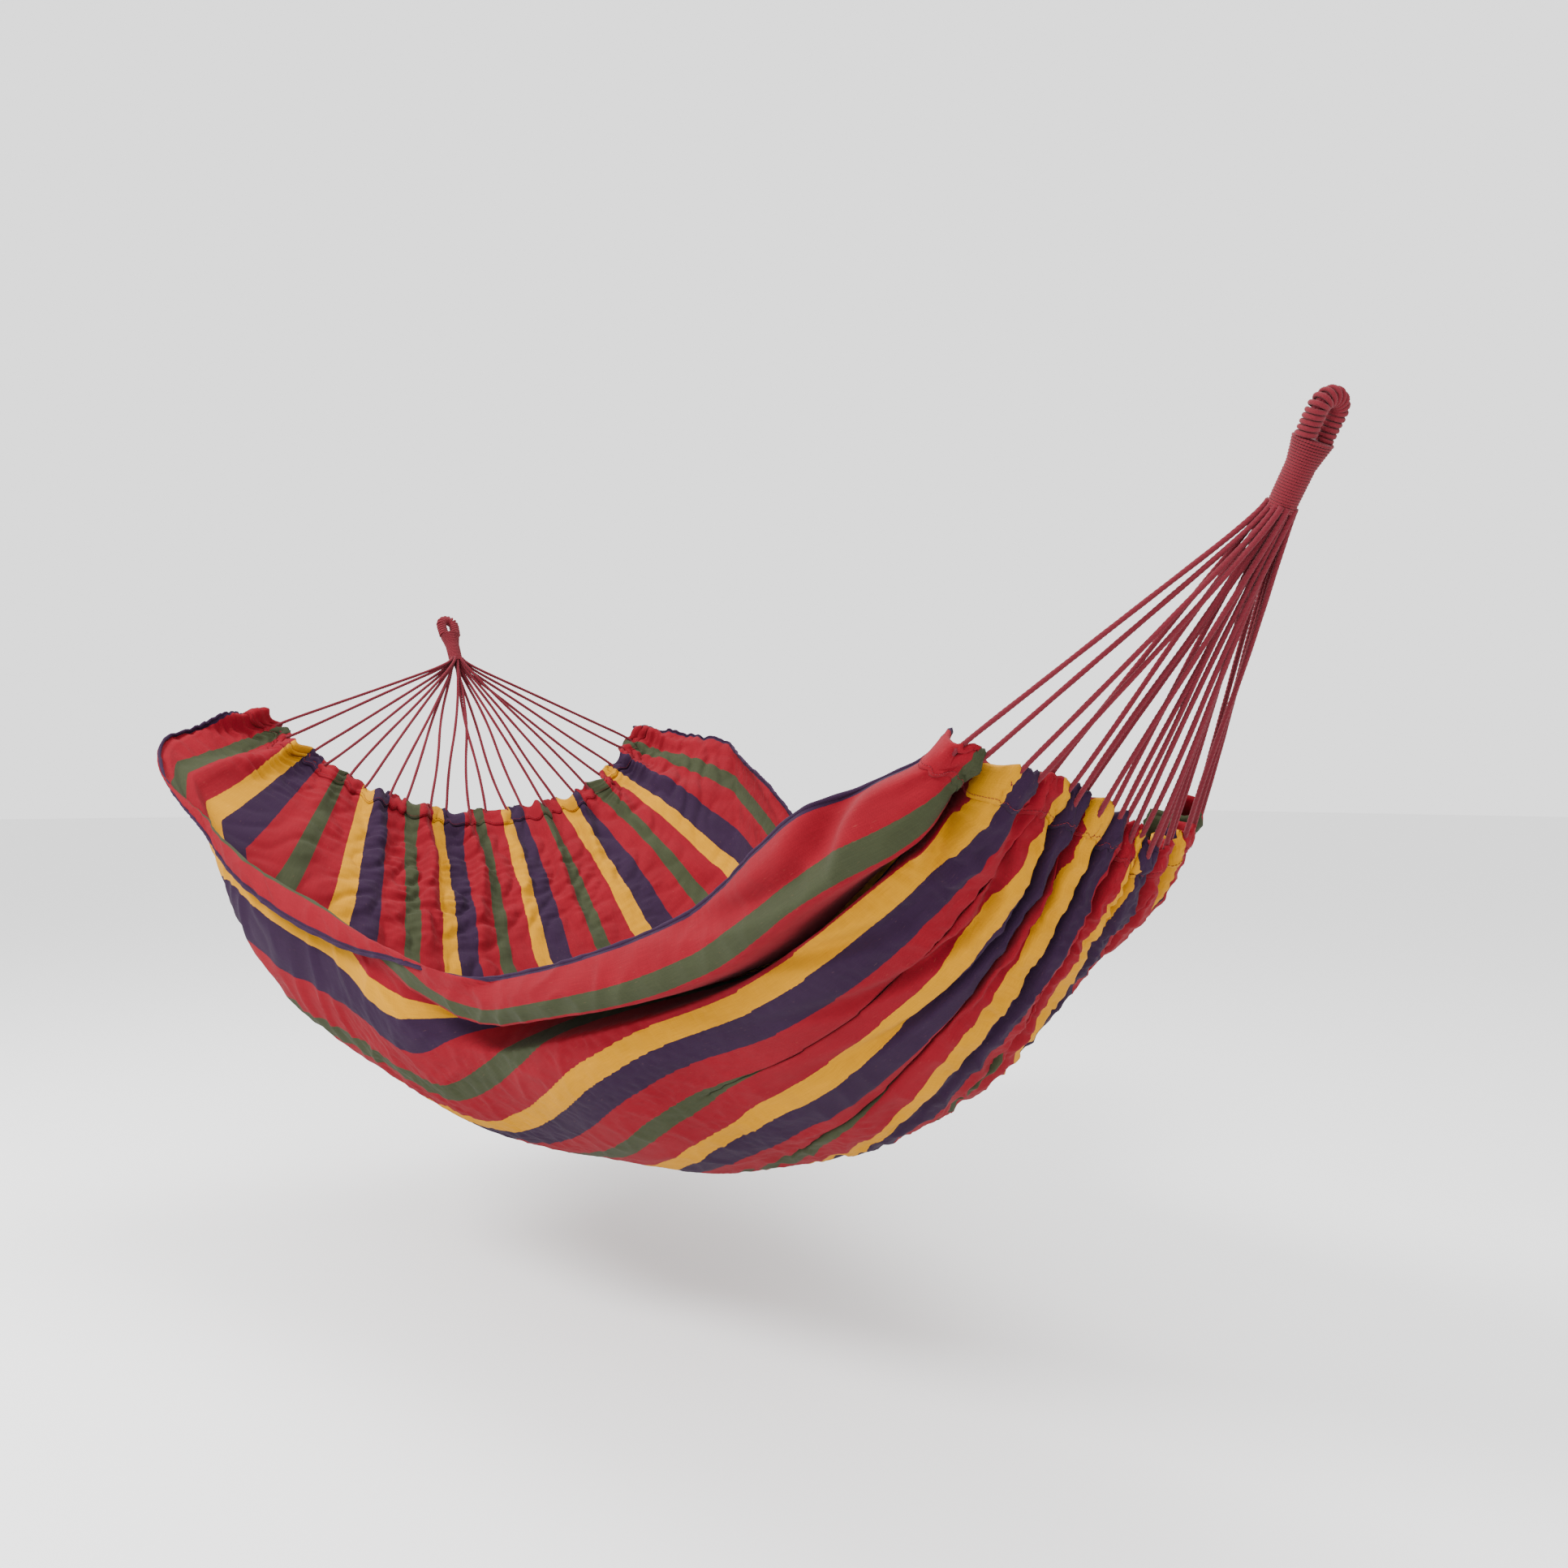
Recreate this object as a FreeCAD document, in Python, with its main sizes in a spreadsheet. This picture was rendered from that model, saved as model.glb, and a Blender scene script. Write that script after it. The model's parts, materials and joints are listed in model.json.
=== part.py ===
import FreeCAD, Part
import math
import os
from FreeCAD import Vector

# Hammock of striped cotton cloth, hung by a whipped rope eye at each end.
# Frame: origin where a hook bears in the far eye, +X towards the near eye, +Z up, millimetres.
# The front edge of the cloth is the -Y one.

doc = FreeCAD.newDocument("Hammock")

# ---------------------------------------------------------------- driving dimensions
sheet = doc.addObject("Spreadsheet::Sheet", "Dimensions")
DIMENSIONS = [
    ("hook_span", 2572, "between the two hook bearing points"),
    ("eye_slope", 58, "degrees that each eye leans up from level"),
    ("eye_bend", 16.5, "radius of the rope centreline round the top of an eye"),
    ("eye_foot", 15, "half distance of the two strands at the foot of an eye"),
    ("eye_strand", 30, "length of a strand from foot to the top bend"),
    ("eye_core_radius", 7, "bundle of cords inside an eye"),
    ("eye_wrap_radius", 12.4, "outside of the cord wound round an eye"),
    ("throat_length", 20, "cone that gathers the two strands into the neck"),
    ("throat_radius", 15.5, "lower end of that cone"),
    ("ball_radius", 16, "rounded top of the neck, which turns under the throat"),
    ("turn_gap", 0.4, "room between the throat and the ball"),
    ("neck_length", 45, "from the pivot to where the cords leave"),
    ("neck_core_radius", 14, "bundle of cords inside the neck"),
    ("neck_wrap_radius", 17, "outside of the neck whipping"),
    ("cord_diameter", 5.5, "harness cord"),
    ("cord_pitch", 7, "distance of the cords where they leave the neck"),
    ("cord_room", 0.4, "room round a cord in the hem"),
    ("cord_start", 3.4, "below the neck, where the modelled cords begin"),
    ("leg_depth", 27, "how far a cord loop reaches into the hem"),
    ("hem_width", 52, "end hem, along the cloth"),
    ("hem_thickness", 15, "end hem, folded over its cords"),
    ("cloth_thickness", 3, "stand-in for the woven cloth"),
    ("side_hem_radius", 4, "rolled side hem"),
    ("side_strip", 8, "from the line of a side hem in to the edge of the cloth"),
    ("piece_gap", 0.6, "between the cloth and its hems"),
]
for row, (alias, value, note) in enumerate(DIMENSIONS, start=1):
    sheet.set(f"A{row}", alias)
    sheet.set(f"B{row}", str(value))
    sheet.set(f"C{row}", note)
    sheet.setAlias(f"B{row}", alias)
doc.recompute()


def size(alias):
    return float(getattr(sheet, alias))


HALF_CORD = size("cord_diameter") / 2
SLOPE = math.radians(size("eye_slope"))
WRAP_BOTTOM = size("eye_strand") + size("eye_bend") - size("eye_wrap_radius")
PIVOT_DROP = WRAP_BOTTOM + size("throat_length") + size("ball_radius")
NECK_DROP = PIVOT_DROP + size("neck_length")
UP = Vector(0, 0, 1)


def eye_axis(end):
    """Unit vector up along an eye: far end 0, near end 1."""
    lean = math.cos(SLOPE) * (1 if end else -1)
    return Vector(lean, 0, math.sin(SLOPE))


def hook_point(end):
    return Vector(size("hook_span") * end, 0, 0)


def pivot_point(end):
    return hook_point(end) - eye_axis(end) * PIVOT_DROP


def neck_point(end):
    return hook_point(end) - eye_axis(end) * NECK_DROP


def end_placement(end, base):
    """Local +Z up along the eye, local +Y across the hammock."""
    turn = FreeCAD.Rotation(UP, eye_axis(end))
    return FreeCAD.Placement(base, turn)


# ---------------------------------------------------------------- cloth surface
# Cross-sections from the far hem to the near hem: the front rim, the bottom and the back rim
# as (x, y, z) from the far neck, how far round an ellipse each side goes, in degrees, and how
# fully the front side rises near the bottom: 1 for the ellipse, less for a sharp dip.
STATIONS = [
    ((20, -450, -135), (170, -20, -365), (60, 450, -150), 70, 1),
    ((45, -540, -160), (205, -22, -425), (80, 520, -158), 70, 1),
    ((105, -685, -205), (370, -25, -525), (200, 640, -180), 72, 1),
    ((420, -640, -430), (710, -40, -815), (620, 540, -320), 84, 1),
    ((980, -515, -610), (1100, -30, -985), (1020, 455, -560), 94, 1),
    ((1500, -350, -520), (1500, 0, -930), (1470, 390, -520), 92, 1),
    ((1880, -270, -362), (1930, 10, -740), (1880, 310, -420), 88, 0.9),
    ((2120, -225, -275), (2150, 50, -455), (2130, 225, -345), 82, 0.45),
    ((2160, -215, -250), (2190, 75, -385), (2180, 205, -318), 78, 0.26),
]
SECTION_POINTS = 17
FAR_NECK = neck_point(0)


def section(front, bottom, back, fullness, dip):
    """Points across the cloth, from the front rim down and up to the back rim."""
    reach = math.radians(fullness)
    points = []
    for index in range(SECTION_POINTS):
        side = 2 * index / (SECTION_POINTS - 1) - 1
        rim = front if side < 0 else back
        angle = abs(side) * reach
        along = side * side
        across = math.sin(angle) / math.sin(reach)
        rise = (1 - math.cos(angle)) / (1 - math.cos(reach))
        if side < 0:
            rise = rise**dip
        shares = (along, across, rise)
        places = [low + (high - low) * share for low, high, share in zip(bottom, rim, shares)]
        points.append(Vector(*places) + FAR_NECK)
    return points


mid_surface = Part.BSplineSurface()
mid_surface.interpolate([section(*station) for station in STATIONS])
SPAN_FIRST, SPAN_LAST, WIDTH_FIRST, WIDTH_LAST = mid_surface.bounds()


def share_at(distance, share_across, end):
    """Share along the cloth that lies this far in from an end hem's edge."""
    step = 0.0005
    share = 0.0
    gone = 0.0
    last = cloth_point(end, share_across)
    while gone < distance:
        share += step
        here = cloth_point(abs(end - share), share_across)
        gone += here.distanceToPoint(last)
        last = here
    return abs(end - share)


def cloth_point(share_along, share_across):
    span = SPAN_FIRST + (SPAN_LAST - SPAN_FIRST) * share_along
    width = WIDTH_FIRST + (WIDTH_LAST - WIDTH_FIRST) * share_across
    return mid_surface.value(span, width)


def cloth_normal(share_along, share_across):
    span = SPAN_FIRST + (SPAN_LAST - SPAN_FIRST) * share_along
    width = WIDTH_FIRST + (WIDTH_LAST - WIDTH_FIRST) * share_across
    return mid_surface.normal(span, width)


def even(first, last, count):
    return [first + (last - first) * index / (count - 1) for index in range(count)]


def edge_share(along, side):
    """Share across of the cloth's edge, a strip's width in from a rim and square to it."""
    step = 0.001
    inward = cloth_point(along, abs(side - step)) - cloth_point(along, side)
    ahead = cloth_point(min(along + step, 1), side) - cloth_point(max(along - step, 0), side)
    ahead.normalize()
    square = inward - ahead * inward.dot(ahead)
    return abs(side - step * size("side_strip") / square.Length)


def skin(shares_along, offset):
    """A surface parallel to the cloth; shares_along(across share) gives the places along it."""
    grid = []
    for step in range(len(shares_along(0))):
        line = []
        for nominal in even(0, 1, 33):
            along = shares_along(nominal)[step]
            front = edge_share(along, 0)
            across = front + (edge_share(along, 1) - front) * nominal
            line.append(cloth_point(along, across) + cloth_normal(along, across) * offset)
        grid.append(line)
    surface = Part.BSplineSurface()
    surface.interpolate(grid)
    return surface


SAME_WAY = 1  # both edges of a ruled face run the same way


def thick_sheet(shares_along, thickness):
    """Closed solid between two skins, with ruled faces round the rim."""
    skins = [skin(shares_along, side * thickness / 2) for side in (-1, 1)]
    faces = [surface.toShape() for surface in skins]
    for limit in (0, 1):
        edges = [surface.uIso(surface.bounds()[limit]).toShape() for surface in skins]
        faces.append(Part.makeRuledSurface(*edges, SAME_WAY))
    for limit in (2, 3):
        edges = [surface.vIso(surface.bounds()[limit]).toShape() for surface in skins]
        faces.append(Part.makeRuledSurface(*edges, SAME_WAY))
    shell = Part.makeShell(faces)
    shell.sewShape()
    solid = Part.makeSolid(shell)
    if solid.Volume < 0:
        solid.reverse()
    return solid


# An end hem is a strip of even width, so its inner edge is found at some places and blended.
HEM_SHARES = {
    (end, place): share_at(size("hem_width"), place, end) for end in (0, 1) for place in (0, 0.5, 1)
}


def hem_share(end, across):
    """Share along the cloth of the inner edge of an end hem."""
    sides = HEM_SHARES[end, 0] * (1 - across) + HEM_SHARES[end, 1] * across
    bulge = HEM_SHARES[end, 0.5] - (HEM_SHARES[end, 0] + HEM_SHARES[end, 1]) / 2
    return sides + bulge * 4 * across * (1 - across)


CLOTH_LENGTH = 2450
GAP_SHARE = size("piece_gap") / CLOTH_LENGTH


def cloth_shares(across):
    return even(hem_share(0, across) + GAP_SHARE, hem_share(1, across) - GAP_SHARE, 33)


def hem_shares(end):
    return lambda across: even(end, hem_share(end, across), 4)


# ---------------------------------------------------------------- tubes on rounded routes
ROUNDING = 0.45  # share of the shorter run that an arc takes at each end of it


def rounded_wire(points):
    """Straight runs joined by tangent arcs; gives the wire, its length and its radii."""
    edges = []
    radii = []
    start = points[0]
    for before, corner, after in zip(points, points[1:], points[2:]):
        back = before - corner
        ahead = after - corner
        turn = math.pi - back.getAngle(ahead)
        cut = ROUNDING * min(back.Length, ahead.Length)
        radius = cut / math.tan(turn / 2)
        back.normalize()
        ahead.normalize()
        enter = corner + back * cut
        leave = corner + ahead * cut
        middle = (back + ahead).normalize()
        bow = radius / math.cos(turn / 2) - radius
        edges.append(Part.LineSegment(start, enter).toShape())
        edges.append(Part.Arc(enter, corner + middle * bow, leave).toShape())
        radii.append(radius)
        start = leave
    edges.append(Part.LineSegment(start, points[-1]).toShape())
    return Part.Wire(edges), radii


def tube(points, radius):
    wire, radii = rounded_wire(points)
    direction = points[1] - points[0]
    ring = Part.Wire(Part.makeCircle(radius, points[0], direction))
    solid = wire.makePipeShell([ring], True, True, 2)
    expected = math.pi * radius * radius * wire.Length
    if abs(solid.Volume - expected) > expected * 0.01:
        raise ValueError(f"tube volume {solid.Volume:.0f}, expected {expected:.0f}")
    return solid, wire, radii


def add_shape(label, shape):
    piece = doc.addObject("Part::Feature", label)
    piece.Label = label
    piece.Shape = shape
    return piece


# ---------------------------------------------------------------- eyes (Part primitives)
def bound(obj, **expressions):
    for name, expression in expressions.items():
        obj.setExpression(name, expression)
    return obj


def eye_strand_wire():
    """Inverted U in the local frame: up one strand, round the top bend, down the other."""
    foot = size("eye_foot")
    bend = size("eye_bend")
    rise = size("eye_strand")
    lean = math.atan2(bend - foot, rise)
    low = [Vector(0, side * foot, 0) for side in (-1, 1)]
    high = [Vector(0, side * bend * math.cos(lean), rise) for side in (-1, 1)]
    crown = Vector(0, 0, rise + bend)
    edges = [
        Part.LineSegment(low[0], high[0]).toShape(),
        Part.Arc(high[0], crown, high[1]).toShape(),
        Part.LineSegment(high[1], low[1]).toShape(),
    ]
    return Part.Wire(edges)


def strand_tube(radius):
    wire = eye_strand_wire()
    first = wire.Edges[0]
    direction = first.Vertexes[1].Point - first.Vertexes[0].Point
    ring = Part.Wire(Part.makeCircle(radius, first.Vertexes[0].Point, direction))
    return wire.makePipeShell([ring], True, False, 2)


def throat_shape():
    """Cone from both strands down to the neck, hollowed by the ball that turns under it."""
    top_radius = size("eye_foot") + size("eye_core_radius") + 1
    bottom = Vector(0, 0, -size("throat_length"))
    cone = Part.makeCone(size("throat_radius"), top_radius, size("throat_length"), bottom)
    pivot = Vector(0, 0, -size("throat_length") - size("ball_radius"))
    ball = Part.makeSphere(size("ball_radius") + size("turn_gap"), pivot)
    return cone.cut(ball)


FOOT_DROP = WRAP_BOTTOM  # from the hook bearing point down to the foot of the strands


def make_eye(name, end):
    place = end_placement(end, hook_point(end) - eye_axis(end) * FOOT_DROP)
    core = strand_tube(size("eye_core_radius")).fuse(throat_shape()).removeSplitter()
    core_piece = add_shape(f"{name}_eye_core", core)
    core_piece.Placement = place
    hollow = strand_tube(size("eye_wrap_radius")).cut(strand_tube(size("eye_core_radius") + 0.1))
    wrap = hollow.cut(throat_shape())
    floor = Part.makeBox(80, 80, 20, Vector(-40, -40, -20 + 1.5))
    wrap_piece = add_shape(f"{name}_eye_whipping", wrap.cut(floor))
    wrap_piece.Placement = place


def make_neck(name, end):
    """Cord bundle with a rounded top, in a tube of fine whipping."""
    rod = doc.addObject("Part::Cylinder", f"{name}_neck_rod")
    bound(rod, Radius="Dimensions.neck_core_radius", Height="Dimensions.neck_length")
    ball = doc.addObject("Part::Sphere", f"{name}_neck_ball")
    bound(ball, Radius="Dimensions.ball_radius")
    ball.setExpression("Placement.Base.z", "Dimensions.neck_length")
    core = doc.addObject("Part::MultiFuse", f"{name}_neck_core")
    core.Shapes = [rod, ball]
    core.Placement = end_placement(end, neck_point(end))
    core.Label = f"{name}_neck_core"
    outer = doc.addObject("Part::Cylinder", f"{name}_neck_wrap_outer")
    bound(outer, Radius="Dimensions.neck_wrap_radius", Height="Dimensions.neck_length")
    inner = doc.addObject("Part::Cylinder", f"{name}_neck_wrap_inner")
    bound(inner, Radius="Dimensions.neck_core_radius + 0.1", Height="Dimensions.neck_length")
    ring = doc.addObject("Part::Cut", f"{name}_neck_ring")
    ring.Base = outer
    ring.Tool = inner
    hole = doc.addObject("Part::Sphere", f"{name}_neck_hole")
    bound(hole, Radius="Dimensions.ball_radius + 0.1")
    hole.setExpression("Placement.Base.z", "Dimensions.neck_length")
    whipping = doc.addObject("Part::Cut", f"{name}_neck_whipping")
    whipping.Base = ring
    whipping.Tool = hole
    whipping.Placement = end_placement(end, neck_point(end))
    whipping.Label = f"{name}_neck_whipping"


# ---------------------------------------------------------------- cord harness
LOOPS = 11
# Where the legs stand in the neck, as columns from the front to the back of the hammock.
NECK_COLUMNS = (4, 5, 4, 5, 4)
# Shares across the hem of some legs, by leg number; the others stand evenly between them.
# At the near end the hem is bunched, so that many legs stand close together at its dip.
LEG_MARKS = (
    ((0, 0.03), (21, 0.97)),
    ((0, 0.03), (5, 0.34), (14, 0.66), (17, 0.77), (19, 0.88), (21, 0.975)),
)
PAIRING = (0.06, 0)  # how much closer a loop's own legs stand, in steps from leg to leg


def leg_share(end, leg):
    """Share across the hem of a cord leg."""
    number = leg + PAIRING[end] * (1 if leg % 2 == 0 else -1)
    number = min(max(number, 0), 2 * LOOPS - 1)
    for (low, low_share), (high, high_share) in zip(LEG_MARKS[end], LEG_MARKS[end][1:]):
        if number <= high:
            break
    return low_share + (high_share - low_share) * (number - low) / (high - low)


def neck_place(end, leg):
    """Where a cord leg leaves the neck, on a packed disc at its lower face."""
    column = 0
    while leg >= NECK_COLUMNS[column]:
        leg -= NECK_COLUMNS[column]
        column += 1
    pitch = size("cord_pitch")
    across = (column - (len(NECK_COLUMNS) - 1) / 2) * pitch * math.cos(math.pi / 6)
    deep = leg - (NECK_COLUMNS[column] - 1) / 2
    if column >= len(NECK_COLUMNS) / 2:
        deep = -deep
    local = Vector(0, across, 0)
    outward = eye_axis(end).cross(Vector(0, 1, 0))
    if outward.z < 0:
        outward = -outward
    return neck_point(end) + local - outward * deep * pitch - eye_axis(end) * size("cord_start")


def loop_points(end, loop):
    legs = (2 * loop, 2 * loop + 1)
    shares = [leg_share(end, leg) for leg in legs]
    hem = [cloth_point(share_at(size("leg_depth"), share, end), share) for share in shares]
    necks = [neck_place(end, leg) for leg in legs]
    return [necks[0], hem[0], hem[1], necks[1]]


def make_harness(name, end):
    passages = []
    for loop in range(LOOPS):
        points = loop_points(end, loop)
        solid, wire, radii = tube(points, HALF_CORD)
        add_shape(f"{name}_cord_loop_{loop + 1:02d}", solid)
        passage, _, _ = tube(points, HALF_CORD + size("cord_room"))
        passages.append(passage)
        shown = ", ".join(f"{radius:.0f}" for radius in radii)
        print(f"{name} loop {loop + 1}: {wire.Length:.0f} mm long, bend radii {shown} mm")
    return passages


def make_hem(name, end, passages):
    band = thick_sheet(hem_shares(end), size("hem_thickness"))
    hem = band.cut(passages)
    solids = sorted(hem.Solids, key=lambda solid: solid.Volume)
    add_shape(f"{name}_end_hem", solids[-1])


def make_side_hem(name, across):
    """Rolled edge that runs from one end hem to the other along a rim of the cloth."""
    count = 61
    shares = even(hem_share(0, across) + GAP_SHARE, hem_share(1, across) - GAP_SHARE, count)
    points = [cloth_point(share, across) for share in shares]
    solid, _, _ = tube(points, size("side_hem_radius"))
    add_shape(f"{name}_side_hem", solid)


# ---------------------------------------------------------------- the whole hammock
for end, name in enumerate(("far", "near")):
    make_eye(name, end)
    make_neck(name, end)
    make_hem(name, end, make_harness(name, end))
add_shape("bed_cloth", thick_sheet(cloth_shares, size("cloth_thickness")))
make_side_hem("front", 0)
make_side_hem("back", 1)
doc.recompute()

HELPERS = ("_rod", "_ball", "_outer", "_inner", "_ring", "_hole")
os.makedirs("parts", exist_ok=True)
for obj in doc.Objects:
    if {"Invalid", "Error"} & set(obj.State):
        raise ValueError(f"{obj.Label} failed: {obj.State}")
pieces = [obj for obj in doc.Objects if hasattr(obj, "Shape") and not obj.Label.endswith(HELPERS)]
for piece in pieces:
    if piece.Shape.isNull() or not piece.Shape.isValid() or piece.Shape.Volume <= 0:
        raise ValueError(f"{piece.Label} has no valid solid")
for piece in pieces:
    piece.Shape.exportStep(f"parts/{piece.Label}.step")
print(f"{len(pieces)} pieces written")
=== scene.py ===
import json
import math
import bpy
import numpy as np
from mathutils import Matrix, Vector


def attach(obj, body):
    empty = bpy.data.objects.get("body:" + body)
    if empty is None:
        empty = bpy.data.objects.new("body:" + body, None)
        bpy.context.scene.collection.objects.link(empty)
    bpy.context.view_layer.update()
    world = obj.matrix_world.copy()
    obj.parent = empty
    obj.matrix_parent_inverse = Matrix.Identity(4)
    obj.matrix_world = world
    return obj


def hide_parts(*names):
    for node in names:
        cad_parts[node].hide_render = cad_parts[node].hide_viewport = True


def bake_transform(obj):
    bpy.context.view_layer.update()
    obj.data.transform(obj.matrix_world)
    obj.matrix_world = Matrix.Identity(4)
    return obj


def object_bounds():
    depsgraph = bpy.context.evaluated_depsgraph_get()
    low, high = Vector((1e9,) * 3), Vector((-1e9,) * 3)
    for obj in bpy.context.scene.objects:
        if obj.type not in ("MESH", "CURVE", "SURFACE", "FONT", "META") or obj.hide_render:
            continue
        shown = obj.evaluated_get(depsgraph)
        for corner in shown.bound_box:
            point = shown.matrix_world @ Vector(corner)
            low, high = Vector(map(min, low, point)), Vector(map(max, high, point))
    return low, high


# Striped cotton hammock hung by two whipped rope eyes. Metres, in the CAD frame:
# origin where a hook bears in the far eye, +X towards the near eye, -Y the front edge.

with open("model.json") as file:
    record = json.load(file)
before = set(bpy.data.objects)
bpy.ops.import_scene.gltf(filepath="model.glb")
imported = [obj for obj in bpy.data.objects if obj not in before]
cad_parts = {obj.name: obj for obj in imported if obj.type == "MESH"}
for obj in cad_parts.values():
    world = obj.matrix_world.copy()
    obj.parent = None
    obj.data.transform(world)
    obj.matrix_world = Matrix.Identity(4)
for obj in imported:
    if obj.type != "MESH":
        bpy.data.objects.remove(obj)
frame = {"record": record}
CAD_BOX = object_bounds()

# ---------------------------------------------------------------- places from the frame
MOUNTS = {mount["name"]: np.array(mount["pos_m"], float) for mount in frame["record"]["mounts"]}
HOOKS = (MOUNTS["far_eye"], MOUNTS["near_eye"])
SWING = frame["record"]["behaviour"]["joints"][0]
FAR_PIVOT = np.array(SWING["pos_m"], float)
NEAR_PIVOT = HOOKS[1] + (FAR_PIVOT - HOOKS[0]) * (-1, 1, 1)
PIVOTS = (FAR_PIVOT, NEAR_PIVOT)
AXES = tuple((hook - pivot) / np.linalg.norm(hook - pivot) for hook, pivot in zip(HOOKS, PIVOTS))
NECK_LENGTH = 0.045
NECKS = tuple(pivot - axis * NECK_LENGTH for pivot, axis in zip(PIVOTS, AXES))
ENDS = ("far", "near")
ACROSS = np.array((0.0, 1.0, 0.0))

CLOTH_WIDTH = 1.5
CLOTH_LENGTH = 2.5
HEM = 0.052
CORD = 0.0055
LOOPS = 11

# ---------------------------------------------------------------- camera
CAMERA_FROM_FAR_NECK = np.array((3.484, -1.358, -0.306))
CAMERA_TURN = 33.94  # degrees between the view and the line of the hammock
SENSOR = 36.0
LENS = 33.54


def make_camera():
    data = bpy.data.cameras.new("camera")
    data.sensor_width = SENSOR
    data.lens = LENS
    camera = bpy.data.objects.new("camera", data)
    bpy.context.scene.collection.objects.link(camera)
    camera.location = NECKS[0] + CAMERA_FROM_FAR_NECK
    camera.rotation_euler = (math.pi / 2, 0, math.radians(90 - CAMERA_TURN))
    bpy.context.scene.camera = camera


make_camera()


# ---------------------------------------------------------------- small helpers
def unit(vector):
    vector = np.asarray(vector, float)
    return vector / np.maximum(np.linalg.norm(vector, axis=-1, keepdims=True), 1e-12)


def smooth(value):
    """0 to 1 with level ends."""
    value = np.clip(value, 0, 1)
    return value * value * (3 - 2 * value)


def step_up(value, low, high):
    return smooth((np.asarray(value, float) - low) / (high - low))


def spline(knots, values, at):
    """Natural cubic spline through values at knots."""
    knots = np.asarray(knots, float)
    values = np.asarray(values, float)
    count = len(knots)
    gaps = np.diff(knots)
    flat = values.reshape(count, -1)
    matrix = np.eye(count)
    right = np.zeros_like(flat)
    for row in range(1, count - 1):
        matrix[row, row - 1] = gaps[row - 1]
        matrix[row, row] = 2 * (gaps[row - 1] + gaps[row])
        matrix[row, row + 1] = gaps[row]
        slope_after = (flat[row + 1] - flat[row]) / gaps[row]
        slope_before = (flat[row] - flat[row - 1]) / gaps[row - 1]
        right[row] = 6 * (slope_after - slope_before)
    bend = np.linalg.solve(matrix, right)
    at = np.asarray(at, float)
    cell = np.clip(np.searchsorted(knots, at) - 1, 0, count - 2)
    gap = gaps[cell][:, None]
    after = (at - knots[cell])[:, None] / gap
    before = 1 - after
    curve = before * flat[cell] + after * flat[cell + 1]
    curve += (before**3 - before) * gap**2 / 6 * bend[cell]
    curve += (after**3 - after) * gap**2 / 6 * bend[cell + 1]
    return curve.reshape((len(at),) + values.shape[1:])


def run_along(points):
    """Distance of each point along its line."""
    steps = np.linalg.norm(np.diff(points, axis=0), axis=1)
    return np.concatenate(([0], np.cumsum(steps)))


def evened(points, count):
    """The same line with its points at even distances."""
    gone = run_along(points)
    places = np.linspace(0, gone[-1], count)
    return np.stack([np.interp(places, gone, points[:, axis]) for axis in range(3)], axis=1)


class Noise:
    """Smooth random field on a plane: waves with random directions, so it has no grid."""

    def __init__(self, seed, waves=24):
        random = np.random.default_rng(seed)
        turn = random.uniform(0, 2 * math.pi, waves)
        size = random.uniform(0.6, 1.6, waves)
        self.across = size * np.cos(turn)
        self.along = size * np.sin(turn)
        self.phase = random.uniform(0, 2 * math.pi, waves)
        self.scale = math.sqrt(2 / waves)

    def __call__(self, across, along):
        total = 0
        for a, b, phase in zip(self.across, self.along, self.phase):
            total = total + np.sin(a * across + b * along + phase)
        return total * self.scale


def new_mesh_object(name, vertices, faces, material, smooth_shade=True):
    mesh = bpy.data.meshes.new(name)
    mesh.from_pydata([tuple(v) for v in np.asarray(vertices, float)], [], faces)
    mesh.update()
    obj = bpy.data.objects.new(name, mesh)
    bpy.context.scene.collection.objects.link(obj)
    mesh.materials.append(material)
    if smooth_shade:
        mesh.polygons.foreach_set("use_smooth", [True] * len(mesh.polygons))
    return obj


def grid_faces(rows, columns, wrap=False):
    index = np.arange(rows * columns).reshape(rows, columns)
    if wrap:
        index = np.concatenate((index, index[:, :1]), axis=1)
    quads = np.stack(
        (index[:-1, :-1], index[:-1, 1:], index[1:, 1:], index[1:, :-1]), axis=-1
    ).reshape(-1, 4)
    return [tuple(int(i) for i in quad) for quad in quads]


def set_uv(obj, uv, name="Weave"):
    """Cloth coordinates in metres, one pair per vertex."""
    layer = obj.data.uv_layers.new(name=name)
    corners = np.empty(len(obj.data.loops), int)
    obj.data.loops.foreach_get("vertex_index", corners)
    layer.data.foreach_set("uv", np.asarray(uv, float)[corners].ravel())


def frames_along(points, first_side):
    """Tangents and two side vectors that don't twist along a line."""
    tangents = np.gradient(points, axis=0)
    tangents = unit(tangents)
    side = np.asarray(first_side, float)
    sides = np.empty_like(points)
    for row, tangent in enumerate(tangents):
        side = side - tangent * side.dot(tangent)
        side = side / np.linalg.norm(side)
        sides[row] = side
    return tangents, sides, np.cross(tangents, sides)


def tube_mesh(points, profile, turns_per_metre=0.0, first_side=(0, 0.2, 1), caps=True):
    """Sweeps a closed outline along a line, twisting it as it goes.
    profile takes the distances along the line and gives radii and angles, a row for each."""
    points = np.asarray(points, float)
    _, sides, ups = frames_along(points, first_side)
    gone = run_along(points)
    radii, angles = profile(gone)
    angles = angles + 2 * math.pi * turns_per_metre * gone[:, None]
    ring = points[:, None] + radii[..., None] * (
        np.cos(angles)[..., None] * sides[:, None] + np.sin(angles)[..., None] * ups[:, None]
    )
    rows, columns = ring.shape[:2]
    faces = grid_faces(rows, columns, wrap=True)
    vertices = ring.reshape(-1, 3)
    if caps:
        faces.append(tuple(reversed(range(columns))))
        faces.append(tuple(range((rows - 1) * columns, rows * columns)))
    return vertices, faces


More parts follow.
